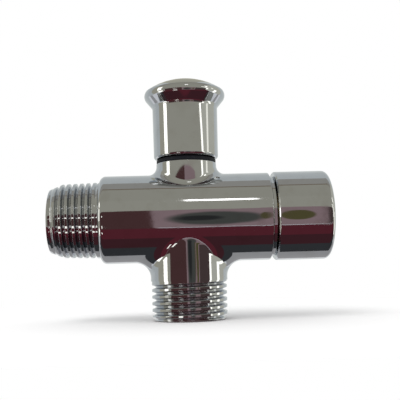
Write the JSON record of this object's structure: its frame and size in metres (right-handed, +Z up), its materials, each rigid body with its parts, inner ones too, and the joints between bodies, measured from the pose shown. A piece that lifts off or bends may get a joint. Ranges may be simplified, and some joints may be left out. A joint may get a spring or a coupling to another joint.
{
  "type": "shower arm diverter",
  "caption": "Tee with a swivel nut inlet, a tapered outlet for a fixed shower head, a lower hand shower outlet and a pull knob that moves a double seat valve.",
  "frame": {"origin": "centre of the hand shower outlet's end face, the lowest point of the part", "axes": "+Z up along the stem and the lower outlet's axis, +X along the main axis towards the swivel nut"},
  "size_m": [0.0778, 0.025, 0.068],
  "materials": {
    "plated_body": "bright chrome plate on polished brass",
    "plated_nut": "bright chrome plate on turned brass",
    "plated_knob": "bright chrome plate on turned brass",
    "brass": "turned, uncoated",
    "stainless": "drawn and turned",
    "buffer_rubber": "moulded, satin black",
    "seal_rubber": "moulded, black",
    "white_plastic": "stamped sheet"
  },
  "bodies": {
    "valve_body": {"body": "plated_body", "swivel_tail": "brass", "tail_o_ring": "seal_rubber", "slip_washer": "white_plastic", "filter_screen": "stainless", "inlet_washer": "seal_rubber", "buffer_ring": "buffer_rubber", "cage_gasket": "seal_rubber", "seat_cage": "brass", "bonnet": "brass", "bonnet_o_ring": "seal_rubber", "stem_o_ring_lower": "seal_rubber", "stem_o_ring_upper": "seal_rubber", "return_spring": "stainless"},
    "inlet_nut": {"swivel_nut": "plated_nut"},
    "spring_seat": {"backing_washer": "stainless"},
    "plunger": {"knob": "plated_knob", "stem": "stainless", "lower_seal": "seal_rubber", "poppet_disc": "brass", "upper_seal": "seal_rubber", "poppet_lock_nut": "brass"}
  },
  "joints": [
    {"name": "nut_swivel", "type": "hinge", "parent": "valve_body", "child": "inlet_nut", "pos_m": [0.032, 0, 0.0282], "axis": [1, 0, 0], "continuous": true},
    {"name": "knob_pull", "type": "slide", "parent": "valve_body", "child": "spring_seat", "axis": [0, 0, 1], "range_m": [0, 0.005], "stiffness_N_per_m": 150, "springref_m": -0.008, "deforming": ["return_spring"]},
    {"name": "knob_turn", "type": "hinge", "parent": "spring_seat", "child": "plunger", "pos_m": [0, 0, 0.0282], "axis": [0, 0, 1], "continuous": true}
  ]
}
